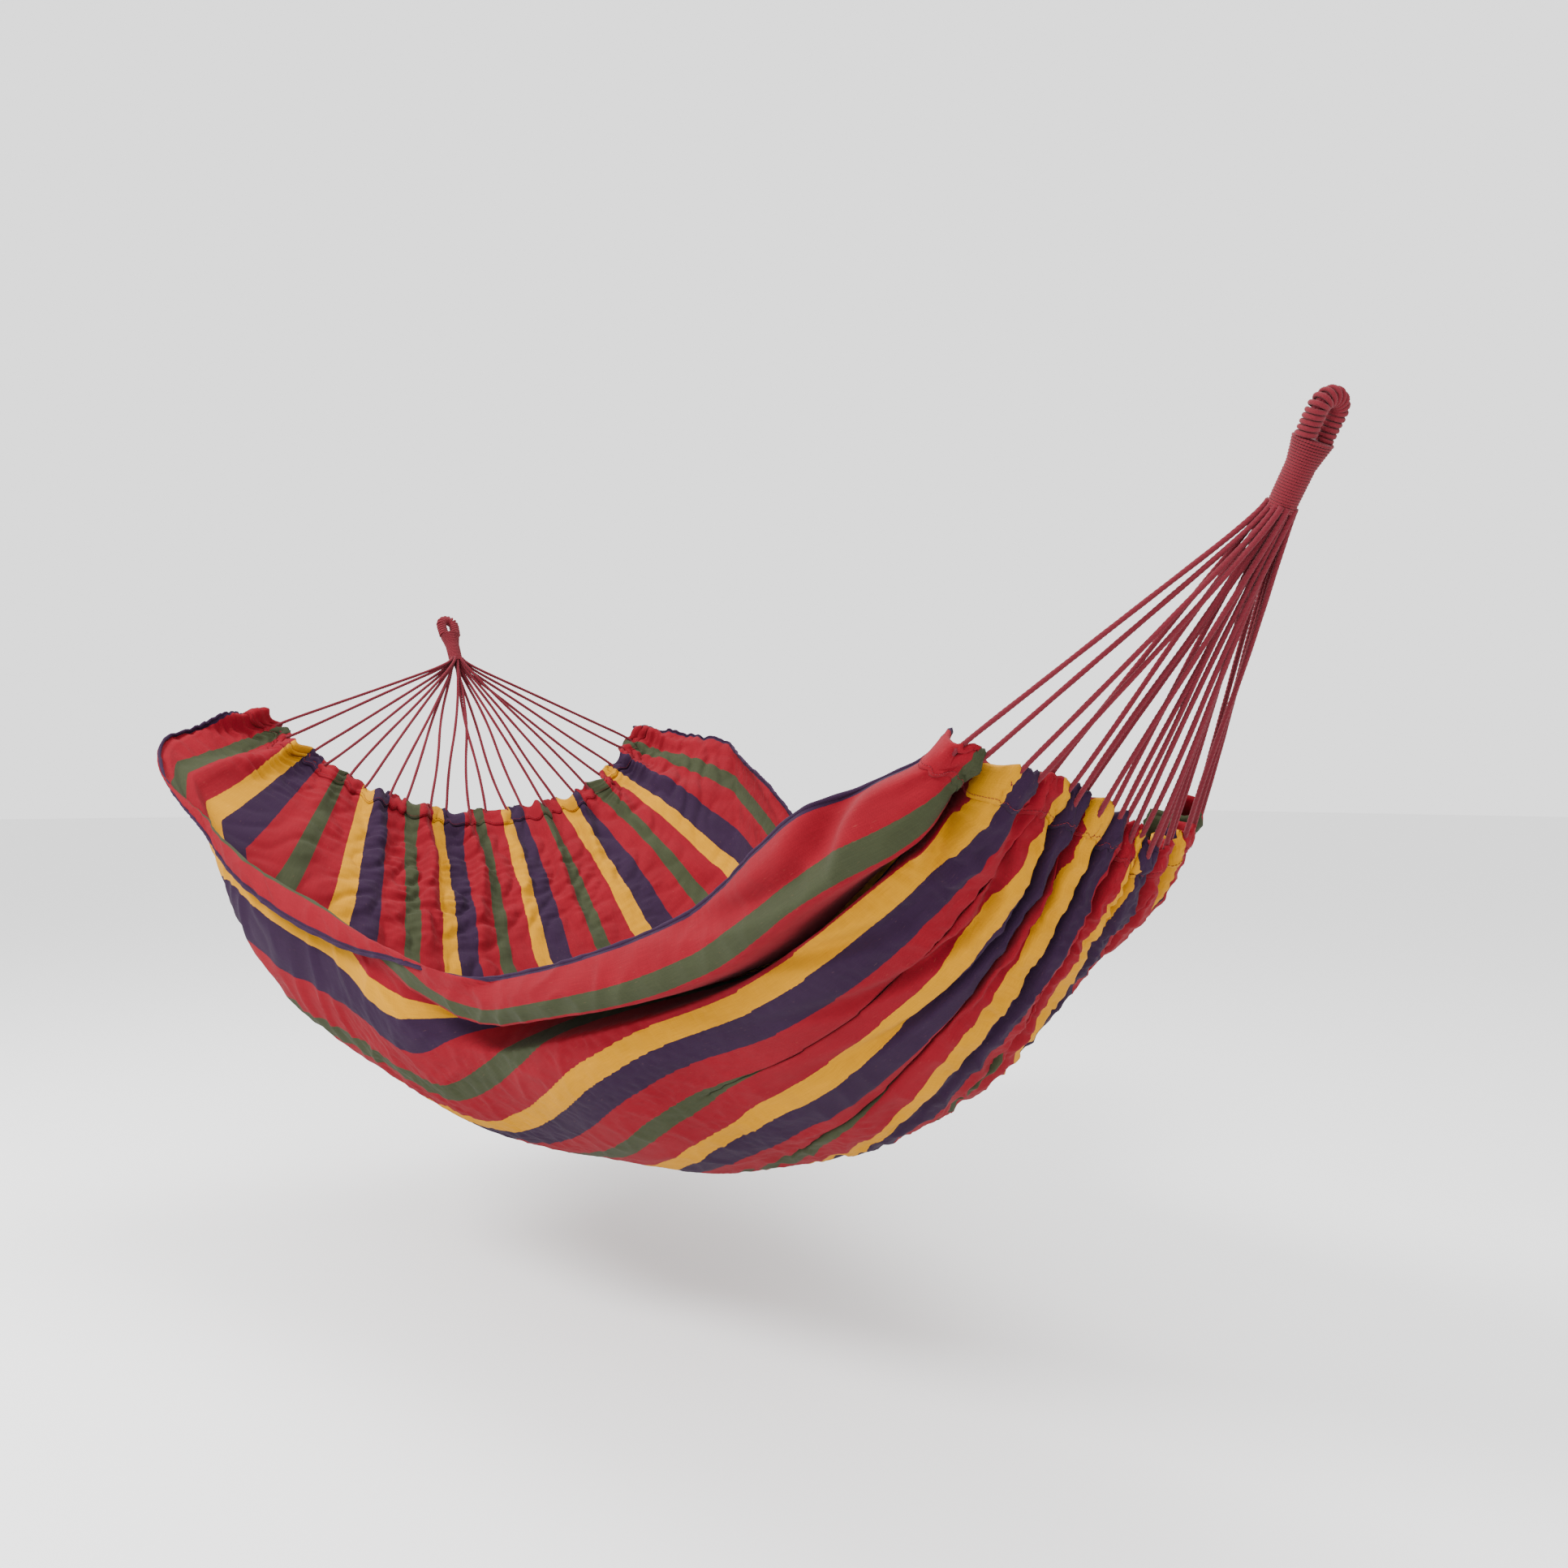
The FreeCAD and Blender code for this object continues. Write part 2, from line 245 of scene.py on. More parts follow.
def join_parts(parts):
    """One vertex list and one face list from several (vertices, faces)."""
    vertices = []
    faces = []
    base = 0
    for part_vertices, part_faces in parts:
        vertices.append(np.asarray(part_vertices))
        faces.extend(tuple(base + i for i in face) for face in part_faces)
        base += len(part_vertices)
    return np.concatenate(vertices), faces


# ---------------------------------------------------------------- materials
def srgb(red, green, blue):
    """Linear colour from the usual 0 to 255 values."""
    def linear(value):
        value = value / 255
        return value / 12.92 if value <= 0.04045 else ((value + 0.055) / 1.055) ** 2.4
    return (linear(red), linear(green), linear(blue), 1.0)


RED = srgb(117, 11, 26)
GREEN = srgb(52, 56, 37)
YELLOW = srgb(178, 122, 0)
PURPLE = srgb(40, 21, 44)
MAROON = srgb(94, 22, 33)

SELVEDGE = 0.007
STRIPE_WOBBLE = 0.0022  # how far the edge of a stripe wanders, from side to side
WARP_PITCH = 0.0019  # the weave, thicker than the real threads so that it shows
WEFT_PITCH = 0.0021
REPEATS = 6.615  # of the stripes, across the cloth
REPEAT = (CLOTH_WIDTH - 2 * SELVEDGE) / REPEATS
# One repeat of the stripes, as (share of the repeat where it starts, colour).
STRIPES = ((0.0, RED), (0.235, GREEN), (0.38, RED), (0.615, YELLOW), (0.78, PURPLE))


class Shader:
    """A node tree being built, with short calls for the nodes used here."""

    def __init__(self, name):
        self.material = bpy.data.materials.new(name)
        self.material.use_nodes = True
        self.nodes = self.material.node_tree.nodes
        self.links = self.material.node_tree.links
        self.surface = self.nodes["Principled BSDF"]

    def link(self, output, target):
        self.links.new(output, target)

    def node(self, kind, **settings):
        node = self.nodes.new(kind)
        for key, value in settings.items():
            setattr(node, key, value)
        return node

    def feed(self, node, **values):
        for key, value in values.items():
            socket = node.inputs[key.replace("_", " ")]
            if isinstance(value, bpy.types.NodeSocket):
                self.link(value, socket)
            else:
                socket.default_value = value
        return node

    def math(self, operation, first, second=0.0, third=None):
        node = self.node("ShaderNodeMath", operation=operation)
        given = (first, second) if third is None else (first, second, third)
        for socket, value in zip(node.inputs, given):
            if isinstance(value, bpy.types.NodeSocket):
                self.link(value, socket)
            else:
                socket.default_value = value
        return node.outputs[0]

    def noise(self, vector, scale, detail=3.0, roughness=0.55):
        node = self.node("ShaderNodeTexNoise")
        self.feed(node, Vector=vector, Scale=scale, Detail=detail, Roughness=roughness)
        return node.outputs["Fac"]

    def stretched(self, vector, scale):
        node = self.node("ShaderNodeMapping")
        self.link(vector, node.inputs["Vector"])
        node.inputs["Scale"].default_value = scale
        return node.outputs["Vector"]

    def mix(self, share, first, second, blend="MIX"):
        node = self.node("ShaderNodeMix", data_type="RGBA", blend_type=blend)
        sockets = (node.inputs[0], node.inputs[6], node.inputs[7])
        for socket, value in zip(sockets, (share, first, second)):
            if isinstance(value, bpy.types.NodeSocket):
                self.link(value, socket)
            else:
                socket.default_value = value
        return node.outputs[2]

    def ramp(self, value, stops, interpolation="LINEAR"):
        node = self.node("ShaderNodeValToRGB")
        node.color_ramp.interpolation = interpolation
        elements = node.color_ramp.elements
        while len(elements) < len(stops):
            elements.new(1.0)
        for element, (place, colour) in zip(elements, stops):
            element.position = place
            element.color = colour
        self.link(value, node.inputs[0])
        return node.outputs[0]

    def bump(self, height, strength, distance, before=None):
        node = self.node("ShaderNodeBump")
        self.feed(node, Height=height, Strength=strength, Distance=distance)
        if before is not None:
            self.link(before, node.inputs["Normal"])
        return node.outputs["Normal"]


def grey(value):
    return (value, value, value, 1.0)


def cloth_finish(shader, colour, across, along, vector):
    """Adds thread streaks, soft fading, weave bump and fuzz to a cloth colour."""
    warp = shader.noise(shader.stretched(vector, (900, 28, 1)), 1.0, 2.0)
    weft = shader.noise(shader.stretched(vector, (28, 800, 1)), 1.0, 2.0)
    threads = shader.math("ADD", shader.math("MULTIPLY", warp, 0.6), shader.math("MULTIPLY", weft, 0.4))
    thread_tone = shader.ramp(threads, ((0.36, grey(0.76)), (0.64, grey(1.0))))
    colour = shader.mix(0.75, colour, thread_tone, "MULTIPLY")
    fade = shader.ramp(shader.noise(vector, 7.0, 5.0, 0.6), ((0.3, grey(0.84)), (0.7, grey(1.06))))
    colour = shader.mix(0.8, colour, fade, "MULTIPLY")
    slub = shader.noise(shader.stretched(vector, (420, 90, 1)), 1.0, 1.0)
    flecks = shader.ramp(slub, ((0.70, grey(0.0)), (0.78, grey(1.0))))
    colour = shader.mix(shader.math("MULTIPLY", flecks, 0.05), colour, srgb(190, 140, 110))
    weave = shader.math(
        "MULTIPLY",
        shader.math("SINE", shader.math("MULTIPLY", across, 2 * math.pi / WARP_PITCH)),
        shader.math("SINE", shader.math("MULTIPLY", along, 2 * math.pi / WEFT_PITCH)),
    )
    normal = shader.bump(weave, 0.22, 0.0006)
    normal = shader.bump(threads, 0.35, 0.0012, normal)
    shader.feed(shader.surface, Base_Color=colour, Normal=normal)
    shader.surface.inputs["Roughness"].default_value = 0.86
    shader.surface.inputs["Specular IOR Level"].default_value = 0.1
    shader.surface.inputs["Sheen Weight"].default_value = 0.02
    shader.surface.inputs["Sheen Roughness"].default_value = 0.5


def striped_cloth():
    shader = Shader("striped_canvas")
    weave_map = shader.node("ShaderNodeUVMap", uv_map="Weave")
    vector = weave_map.outputs["UV"]
    parts = shader.node("ShaderNodeSeparateXYZ")
    shader.link(vector, parts.inputs[0])
    across, along = parts.outputs["X"], parts.outputs["Y"]
    wobble = shader.noise(shader.stretched(vector, (60, 160, 1)), 1.0, 2.0)
    shifted = shader.math("MULTIPLY_ADD", wobble, STRIPE_WOBBLE, across)
    from_edge = shader.math("SUBTRACT", shifted, SELVEDGE + STRIPE_WOBBLE / 2)
    share = shader.math("FRACT", shader.math("DIVIDE", from_edge, REPEAT))
    colour = shader.ramp(share, STRIPES, "CONSTANT")
    inside = shader.math("GREATER_THAN", across, SELVEDGE)
    inside = shader.math("MULTIPLY", inside, shader.math("LESS_THAN", across, CLOTH_WIDTH - SELVEDGE))
    colour = shader.mix(inside, PURPLE, colour)
    cloth_finish(shader, colour, across, along, vector)
    return shader.material


def plain_cloth(name, base):
    shader = Shader(name)
    weave_map = shader.node("ShaderNodeUVMap", uv_map="Weave")
    vector = weave_map.outputs["UV"]
    parts = shader.node("ShaderNodeSeparateXYZ")
    shader.link(vector, parts.inputs[0])
    faded = tuple(min(c * 1.25, 1) for c in base[:3]) + (1.0,)
    tone = shader.mix(shader.noise(vector, 40.0), base, faded)
    cloth_finish(shader, tone, parts.outputs["X"], parts.outputs["Y"], vector)
    return shader.material


def cord_material(name, base, scale=1.0):
    """Twisted cotton: fibre streaks, lighter and darker at random, softened towards the plain colour in
    patches.
    """
    shader = Shader(name)
    place = shader.node("ShaderNodeTexCoord").outputs["Object"]
    fibres = shader.noise(place, 900.0 * scale, 4.0, 0.7)
    patches = shader.noise(place, 22.0 * scale, 3.0)
    light = tuple(min(c * 1.22 + 0.004, 1) for c in base[:3]) + (1.0,)
    dark = tuple(c * 0.74 for c in base[:3]) + (1.0,)
    colour = shader.mix(shader.ramp(fibres, ((0.3, grey(0.0)), (0.75, grey(1.0)))), dark, light)
    colour = shader.mix(shader.ramp(patches, ((0.3, grey(0.0)), (0.7, grey(0.5)))), colour, base)
    shader.feed(shader.surface, Base_Color=colour, Normal=shader.bump(fibres, 0.3, 0.0005))
    shader.surface.inputs["Roughness"].default_value = 0.9
    shader.surface.inputs["Specular IOR Level"].default_value = 0.15
    shader.surface.inputs["Sheen Weight"].default_value = 0.08
    return shader.material


CLOTH = striped_cloth()
SIDE_CLOTH = plain_cloth("purple_selvedge", PURPLE)
ROPE = cord_material("twisted_cord", MAROON)
WHIPPING = cord_material("whipping_cord", srgb(102, 25, 35))
THREAD = cord_material("sewing_thread", srgb(104, 14, 28), 2.0)

# ---------------------------------------------------------------- base surface of the cloth
# Cross-sections from the far hem to the near hem: the front rim, the bottom and the back rim
# as (x, y, z) from the far neck, how far round an ellipse each side goes, in degrees, and how
# fully the front side rises near the bottom: 1 for the ellipse, less for a sharp dip.
STATIONS = [
    ((0.020, -0.450, -0.135), (0.170, -0.020, -0.365), (0.060, 0.450, -0.150), 70, 1),
    ((0.045, -0.540, -0.160), (0.205, -0.022, -0.425), (0.080, 0.520, -0.158), 70, 1),
    ((0.098, -0.700, -0.203), (0.370, -0.025, -0.525), (0.200, 0.640, -0.180), 72, 1),
    ((0.232, -0.692, -0.300), (0.505, -0.033, -0.652), (0.365, 0.612, -0.228), 77, 1),
    ((0.420, -0.640, -0.430), (0.710, -0.040, -0.815), (0.620, 0.540, -0.320), 84, 1),
    ((0.980, -0.515, -0.610), (1.100, -0.030, -0.985), (1.020, 0.455, -0.560), 94, 1),
    ((1.500, -0.350, -0.520), (1.500, 0.000, -0.930), (1.470, 0.390, -0.520), 92, 1),
    ((1.880, -0.270, -0.362), (1.930, 0.010, -0.740), (1.880, 0.310, -0.420), 88, 0.9),
    ((2.120, -0.225, -0.275), (2.150, 0.050, -0.455), (2.130, 0.225, -0.345), 82, 0.45),
    ((2.160, -0.215, -0.250), (2.190, 0.075, -0.385), (2.180, 0.205, -0.318), 78, 0.26),
]


def section(front, bottom, back, fullness, dip, count=97):
    reach = math.radians(fullness)
    side = np.linspace(-1, 1, count)
    rim = np.where((side < 0)[:, None], np.array(front), np.array(back))
    angle = np.abs(side) * reach
    rise = (1 - np.cos(angle)) / (1 - math.cos(reach))
    rise = np.where(side < 0, rise**dip, rise)
    shares = np.stack((side * side, np.sin(angle) / math.sin(reach), rise), axis=1)
    return np.array(bottom) + (rim - np.array(bottom)) * shares + NECKS[0]


# Where the far end, pulled flat from its hem, breaks into the bed: shares of the length
# against shares of the width from the front rim.
FAR_CREASE = (
    (0.0, 0.12, 0.20, 0.30, 0.38, 0.46, 0.60, 0.75, 0.86, 0.93, 1.0),
    (0.098, 0.140, 0.180, 0.225, 0.240, 0.230, 0.210, 0.205, 0.225, 0.180, 0.13),
)
FAR_PULL = 0.93  # how nearly flat: 1 for straight lines from the hem to the crease


class Base:
    """The cloth without folds, sampled by shares of its length and of its width."""

    def __init__(self, rows=321, columns=161):
        sections = np.stack([section(*station) for station in STATIONS])
        middle = sections[:, sections.shape[1] // 2]
        knots = run_along(middle)
        fine = spline(knots, sections, np.linspace(0, knots[-1], rows))
        fine = np.stack([evened(row, columns) for row in fine])
        self.grid = np.stack([evened(fine[:, column], rows) for column in range(columns)], axis=1)
        self.rows = rows
        self.columns = columns
        self.straighten()
        down = np.gradient(self.grid, axis=0)
        over = np.gradient(self.grid, axis=1)
        normals = unit(np.cross(down, over))
        if normals[rows // 2, columns // 2, 2] > 0:
            normals = -normals
        self.normals = normals
        self.widths = np.linalg.norm(np.diff(self.grid, axis=1), axis=2).sum(axis=1)
        self.lengths = np.linalg.norm(np.diff(self.grid, axis=0), axis=2).sum(axis=0)

    def straighten(self):
        """The far end is pulled flat between its hem and a crease across the bed."""
        share = np.linspace(0, 1, self.rows)
        for column, place in enumerate(np.linspace(0, 1, self.columns)):
            row = int(round(np.interp(place, *FAR_CREASE) * (self.rows - 1)))
            part = (share[: row + 1] / share[row])[:, None]
            flat = self.grid[0, column] * (1 - part) + self.grid[row, column] * part
            self.grid[: row + 1, column] += (flat - self.grid[: row + 1, column]) * FAR_PULL

    def sample(self, field, along, across):
        row = np.clip(along, 0, 1) * (self.rows - 1)
        column = np.clip(across, 0, 1) * (self.columns - 1)
        low_row = np.minimum(row.astype(int), self.rows - 2)
        low_column = np.minimum(column.astype(int), self.columns - 2)
        part_row = (row - low_row)[..., None]
        part_column = (column - low_column)[..., None]

        def across_row(rows):
            before = field[rows, low_column] * (1 - part_column)
            return before + field[rows, low_column + 1] * part_column

        return across_row(low_row) * (1 - part_row) + across_row(low_row + 1) * part_row


BASE = Base()

# ---------------------------------------------------------------- cord legs
# Which share of the width each leg enters the hem at, at the far and near end: (leg, share)
# marks with the other legs evenly between them.
LEG_MARKS = (
    ((0, 0.03), (21, 0.97)),
    ((0, 0.03), (5, 0.34), (14, 0.66), (17, 0.77), (19, 0.88), (21, 0.975)),
)
PAIRING = (0.06, 0)  # how far the two legs of a loop stand together
LEG_DEPTH = 0.027
NECK_COLUMNS = (4, 5, 4, 5, 4)
CORD_PITCH = 0.007


def leg_share(end, leg):
    number = leg + PAIRING[end] * (1 if leg % 2 == 0 else -1)
    marks = LEG_MARKS[end]
    return float(np.interp(number, [m[0] for m in marks], [m[1] for m in marks]))


def leg_column(leg):
    column = 0
    while leg >= NECK_COLUMNS[column]:
        leg -= NECK_COLUMNS[column]
        column += 1
    return column, leg


def neck_place(end, leg, below):
    """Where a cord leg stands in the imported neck, this far below its lower face."""
    column, row = leg_column(leg)
    across = (column - (len(NECK_COLUMNS) - 1) / 2) * CORD_PITCH * math.cos(math.pi / 6)
    deep = row - (NECK_COLUMNS[column] - 1) / 2
    if column >= len(NECK_COLUMNS) / 2:
        deep = -deep
    outward = np.cross(AXES[end], ACROSS)
    outward = outward * (1 if outward[2] > 0 else -1)
    return NECKS[end] + ACROSS * across - outward * deep * CORD_PITCH - AXES[end] * below


# ---------------------------------------------------------------- folds of the cloth
FLAP = 0.080  # far part of the front rim: the cloth turns out over itself by this much
LIP = 0.098  # middle and near part: the rim stands out as a lip of this height
# The deep fold under the lip: how much cloth it hides, how wide it gapes and how deep it goes,
# at shares of the length.
GAPE = (
    (0.46, 0.000, 0.000, 0.000),
    (0.52, 0.090, 0.035, 0.055),
    (0.57, 0.132, 0.054, 0.090),
    (0.64, 0.170, 0.062, 0.120),
    (0.70, 0.198, 0.060, 0.135),
    (0.78, 0.210, 0.052, 0.130),
    (0.86, 0.232, 0.036, 0.105),
    (0.92, 0.252, 0.015, 0.060),
    (1.00, 0.262, 0.008, 0.030),
)
# Other deep folds that run in from the near hem: where they are across the cloth, how much
# cloth they hide at the near hem, and the shares of the length where they begin and are full.
TUCKS = (
    (0.526, 0.078, 0.64, 0.84),
    (0.735, 0.150, 0.58, 0.96),
    (0.962, 0.100, 0.62, 0.98),
    (1.195, 0.090, 0.62, 1.00),
    (1.330, 0.070, 0.66, 1.00),
)
TUCK_LEAN = 0.40  # radians that a hidden fold leans down from straight in
POCKET_LEAN = 0.10  # the same for the fold under the lip
TUCK_LEFT = 0.07  # share of a tuck's width that still shows as its slit
FLAP_RISE = 0.85  # how high the turned rim stands, as a share of the cloth turned out
FLAP_FALL = 0.35  # how far its edge hangs out, as a share of the same
FLAP_REACH = 0.13  # metres of cloth beside the flap that are drawn towards the rim
# Where the far half is drawn towards the front: by what share of the width at most, then the
# middle and reach across, in metres, and how strongly at shares of the length.
DRAWN = (0.050, 0.95, 0.35)
DRAWN_ALONG = ((0, 0.2, 0.35, 0.5), (0, 1, 0.6, 0))
# Where the front wall stands higher or lower than the base: by how much, the shares of the
# length where that begins, is full, begins to fade and ends, and its middle and reach across.
RIM_MOVES = (
    (-0.043, 0.50, 0.62, 0.78, 0.92, 0.0, 0.30),
    (0.042, 0.47, 0.55, 0.62, 0.76, 0.2, 0.16),
    (0.012, 0.88, 0.96, 1.50, 2.00, 0.0, 0.12),
)
LEAST = 1e-4


def hump(value, middle, reach):
    """A smooth hill of height 1."""
    return np.exp(-(((value - middle) / reach) ** 2))


def rim_roll(along):
    """1 where the front rim turns outwards, 0 where it stands up as a lip."""
    return step_up(along, 0.03, 0.30) * (1 - step_up(along, 0.42, 0.64))


class Folds:
    """Where each place of the flat cloth goes: share across the base, and moves off it."""

    def __init__(self, along, widths):
        """along: shares of the length, one per row. widths: metres across, one per column."""
        self.along = along
        self.widths = widths
        self.over = widths[None]
        self.roll = rim_roll(along)[:, None]
        self.turned = FLAP * self.roll
        self.visible = np.ones((len(along), len(widths)))
        self.tuck = np.zeros_like(self.visible)
        self.make_tucks()
        marks = np.array(GAPE)
        fields = (np.interp(along, marks[:, 0], marks[:, k])[:, None] for k in (1, 2, 3))
        hidden, self.gape, self.deep = fields
        self.high = LIP + self.gape + hidden
        width = np.maximum(self.high - LIP, LEAST)
        self.inside = np.clip((self.over - LIP) / width, 0, 1)
        self.within = (self.over > LIP) & (self.over < self.high)
        self.visible = np.where(self.within, self.gape / width, self.visible)
        self.share = self.find_share()
        self.up = self.find_up()
        self.out = self.find_out()
        pocket = self.deep * np.sin(self.inside * math.pi) ** 0.45
        self.pocket = pocket * self.within * (1 - self.roll)

    def make_tucks(self):
        for middle, hidden, begins, full in TUCKS:
            grown = step_up(self.along, begins, full)[:, None]
            half = np.maximum(hidden * grown / 2, 0.004)
            inside = np.clip(np.abs(self.over - middle) / half, 0, 1)
            shape = np.cos(inside * math.pi / 2) ** 2
            weight = step_up(grown, 0.02, 0.25)
            gone = (1 - TUCK_LEFT) * weight * smooth((1 - inside) * 4)
            self.visible -= np.where(inside < 1, gone, 0)
            self.tuck += shape * hidden * grown / 2 * 0.92 * weight

    def find_share(self):
        """Share of the width of the base that each place lies at."""
        middles = (self.visible[:, 1:] + self.visible[:, :-1]) / 2
        gone = np.cumsum(np.diff(self.widths)[None] * middles, axis=1)
        gone = np.concatenate((np.zeros((len(self.along), 1)), gone), axis=1)
        lip_share = gone / gone[:, -1:]
        past_flap = self.over - 2 * self.turned
        flap_share = self.over - 2 * self.turned * np.exp(-past_flap / FLAP_REACH)
        flap_share = np.where(past_flap > 0, flap_share / CLOTH_WIDTH, 0)
        share = flap_share * self.roll + lip_share * (1 - self.roll)
        size, middle, reach = DRAWN
        drawn = np.interp(self.along, *DRAWN_ALONG)[:, None]
        return share - size * drawn * hump(self.over, middle, reach)

    def find_up(self):
        """Metres that each place is moved towards or away from the rim."""
        arch = self.flap_arch()
        up = np.where(self.turned > 0.002, FLAP_RISE * self.turned * arch, 0)
        for size, begins, full, fades, ends, middle, reach in RIM_MOVES:
            share = step_up(self.along, begins, full) * (1 - step_up(self.along, fades, ends))
            up = up + size * share[:, None] * hump(self.over, middle, reach)
        return up

    def flap_arch(self):
        from_crest = (self.over - self.turned) / np.maximum(self.turned, LEAST)
        return np.clip(1 - from_crest**2, 0, 1)

    def find_out(self):
        """Metres that each place is moved off the base, outwards."""
        fallen = np.clip(1 - self.over / np.maximum(self.turned, LEAST), 0, 1)
        flap = 0.010 * self.flap_arch() + FLAP_FALL * self.turned * fallen
        along = self.along
        size = 0.006 + 0.042 * step_up(along, 0.50, 0.66) + 0.008 * step_up(along, 0.75, 0.88)
        size = (size * (1 - step_up(along, 0.92, 1.0)))[:, None]
        lip = np.sin(np.clip((self.over + 0.012) / (LIP + 0.012), 0, 1) * 2.25) ** 0.6
        lip = lip * (1 - smooth(self.inside * 4)) * (self.over < self.high)
        belly = 0.012 * hump(self.over, self.high + 0.06, 0.06) * (self.gape > 0.004)
        return flap * (self.turned > 0.002) + (size * lip + belly) * (1 - self.roll)


# Pleats that the cords pull into the far and near hem: their half height at the hem, and how
# far they reach into the cloth.
PLEATS = ((0.0130, 0.34), (0.0200, 0.34))
# Where the bed bags out, or is drawn in: by how much, then the middle and reach along it and
# across it, in shares.
BULGES = ((0.075, 0.30, 0.12, 0.18, 0.15), (-0.040, 0.83, 0.09, 0.58, 0.28))
SCALLOPS = (0.034, 0.022)  # how far the hem's edge sags from one cord leg to the next
PLEAT_NOISE = Noise(11)
CREASE_NOISE = (Noise(21, 40), Noise(22, 40), Noise(23, 40))
SWAY_NOISE = Noise(31, 30)
# Heights of the creases, from soft swells to small ridges and those across the ends.
SOFT = 0.0055
CRISP = 0.0040
SMALL = 0.0010
CROSS = 0.0024


class Cloth:
    """The folded cloth on a grid of flat places: rows along it, columns across it."""

    def __init__(self):
        inner = np.linspace(HEM, CLOTH_LENGTH - HEM, 440)
        hem_rows = np.linspace(0, HEM, 9)
        self.along = np.concatenate((hem_rows[:-1], inner, CLOTH_LENGTH - hem_rows[-2::-1]))
        self.across = np.linspace(0, CLOTH_WIDTH, 401)
        self.hem_rows = len(hem_rows)
        share = self.along / CLOTH_LENGTH
        folds = Folds(share, self.across)
        self.share_across = folds.share
        self.phases = [self.leg_phase(end, folds.share) for end in (0, 1)]
        depth = (self.along[:, None], (CLOTH_LENGTH - self.along)[:, None])
        moved = np.repeat(share[:, None], len(self.across), axis=1)
        normal_out = folds.out.copy()
        for size, middle, reach, level, spread in BULGES:
            swell = hump(share[:, None], middle, reach) * hump(folds.share, level, spread)
            normal_out += size * swell
        for end in (0, 1):
            height, sag = self.pleats(end, depth[end])
            normal_out += height
            moved += sag / CLOTH_LENGTH * (1 if end == 0 else -1)
        points = BASE.sample(BASE.grid, moved, self.share_across)
        normals = unit(BASE.sample(BASE.normals, moved, self.share_across))
        points = points + normals * (normal_out + self.creases(depth))[..., None]
        points = points + self.leaning(normals, TUCK_LEAN) * folds.tuck[..., None]
        points = points + self.leaning(normals, POCKET_LEAN) * folds.pocket[..., None]
        rims = BASE.grid[:, 0] - BASE.grid[:, 2]
        base_share = np.linspace(0, 1, BASE.rows)
        rims = np.stack([np.interp(share, base_share, rims[:, k]) for k in range(3)], axis=1)
        self.points = points + unit(rims)[:, None] * folds.up[..., None]
        flat = np.broadcast_arrays(self.across[None], self.along[:, None])
        self.uv = np.stack(flat, axis=-1)

    def pleats(self, end, depth):
        """Height of the pleats at one end, and how far the cloth sags between cord legs."""
        phase = self.phases[end]
        height, reach = PLEATS[end]
        near = np.exp(-((depth / reach) ** 1.2))
        uneven = 1 + 0.45 * PLEAT_NOISE(phase * 1.1 + 9 * end, depth * 9)
        wander = 0.5 * PLEAT_NOISE(phase * 0.5 + 40, depth * 7 + 20 * end)
        place = (phase + wander * step_up(depth, 0.03, 0.25)) % 2
        notch = np.clip(place - 1, 0, 1)
        wave = np.cos(2 * math.pi * notch) - 0.75
        notch = np.clip(phase % 2 - 1, 0, 1)
        sag = SCALLOPS[end] * np.sin(math.pi * notch) ** 0.7
        sag = sag + 0.18 * SCALLOPS[end] * PLEAT_NOISE(phase * 9, 3 + end)
        sag = sag * hump(depth, 0, 0.10) * np.clip(uneven, 0.6, 1.4)
        return height * near * np.clip(uneven, 0.4, 1.6) * wave, sag

    @staticmethod
    def leaning(normals, lean):
        """Into the bed, and down by an angle."""
        inward = -normals * math.cos(lean)
        inward[..., 2] -= math.sin(lean)
        return unit(inward)

    @staticmethod
    def leg_phase(end, shares):
        """Whole numbers where the cord legs enter the hem."""
        legs = np.arange(2 * LOOPS)
        places = np.array([leg_share(end, leg) for leg in legs])
        steps = np.diff(places)
        places = np.concatenate(([places[0] - steps[0]], places, [places[-1] + steps[-1]]))
        return np.interp(shares, places, np.arange(-1, 2 * LOOPS + 1))

    def creases(self, depth):
        over = self.across[None] + 0 * depth[0]
        run = self.along[:, None] + 0 * over
        slow, crumple, fine = CREASE_NOISE
        soft = SOFT * slow(over * 10 + run * 5, run * 8)
        ridges = 1 - np.abs(crumple(over * 48 + run * 30, run * 42 - over * 14))
        crisp = CRISP * np.clip(ridges, -0.6, 1) * (0.7 + 0.5 * SWAY_NOISE(over * 5, run * 5))
        patches = np.clip(0.55 + 0.6 * SWAY_NOISE(over * 9 + 7, run * 9), 0, 1.4)
        small = SMALL * (1 - np.abs(fine(over * 130 + run * 40, run * 190 - over * 50))) * patches
        ends = hump(depth[0], 0, 0.35) + 0.7 * hump(depth[1], 0, 0.3)
        cross = CROSS * fine(over * 70 + 5, run * 260) * ends * patches
        return soft + crisp * (1 + 0.6 * ends) + small + cross

    def normals(self):
        down = np.gradient(self.points, axis=0)
        over = np.gradient(self.points, axis=1)
        normals = unit(np.cross(down, over))
        rows, columns = normals.shape[:2]
        if normals[rows // 2, columns // 2, 2] > 0:
            normals = -normals
        return normals

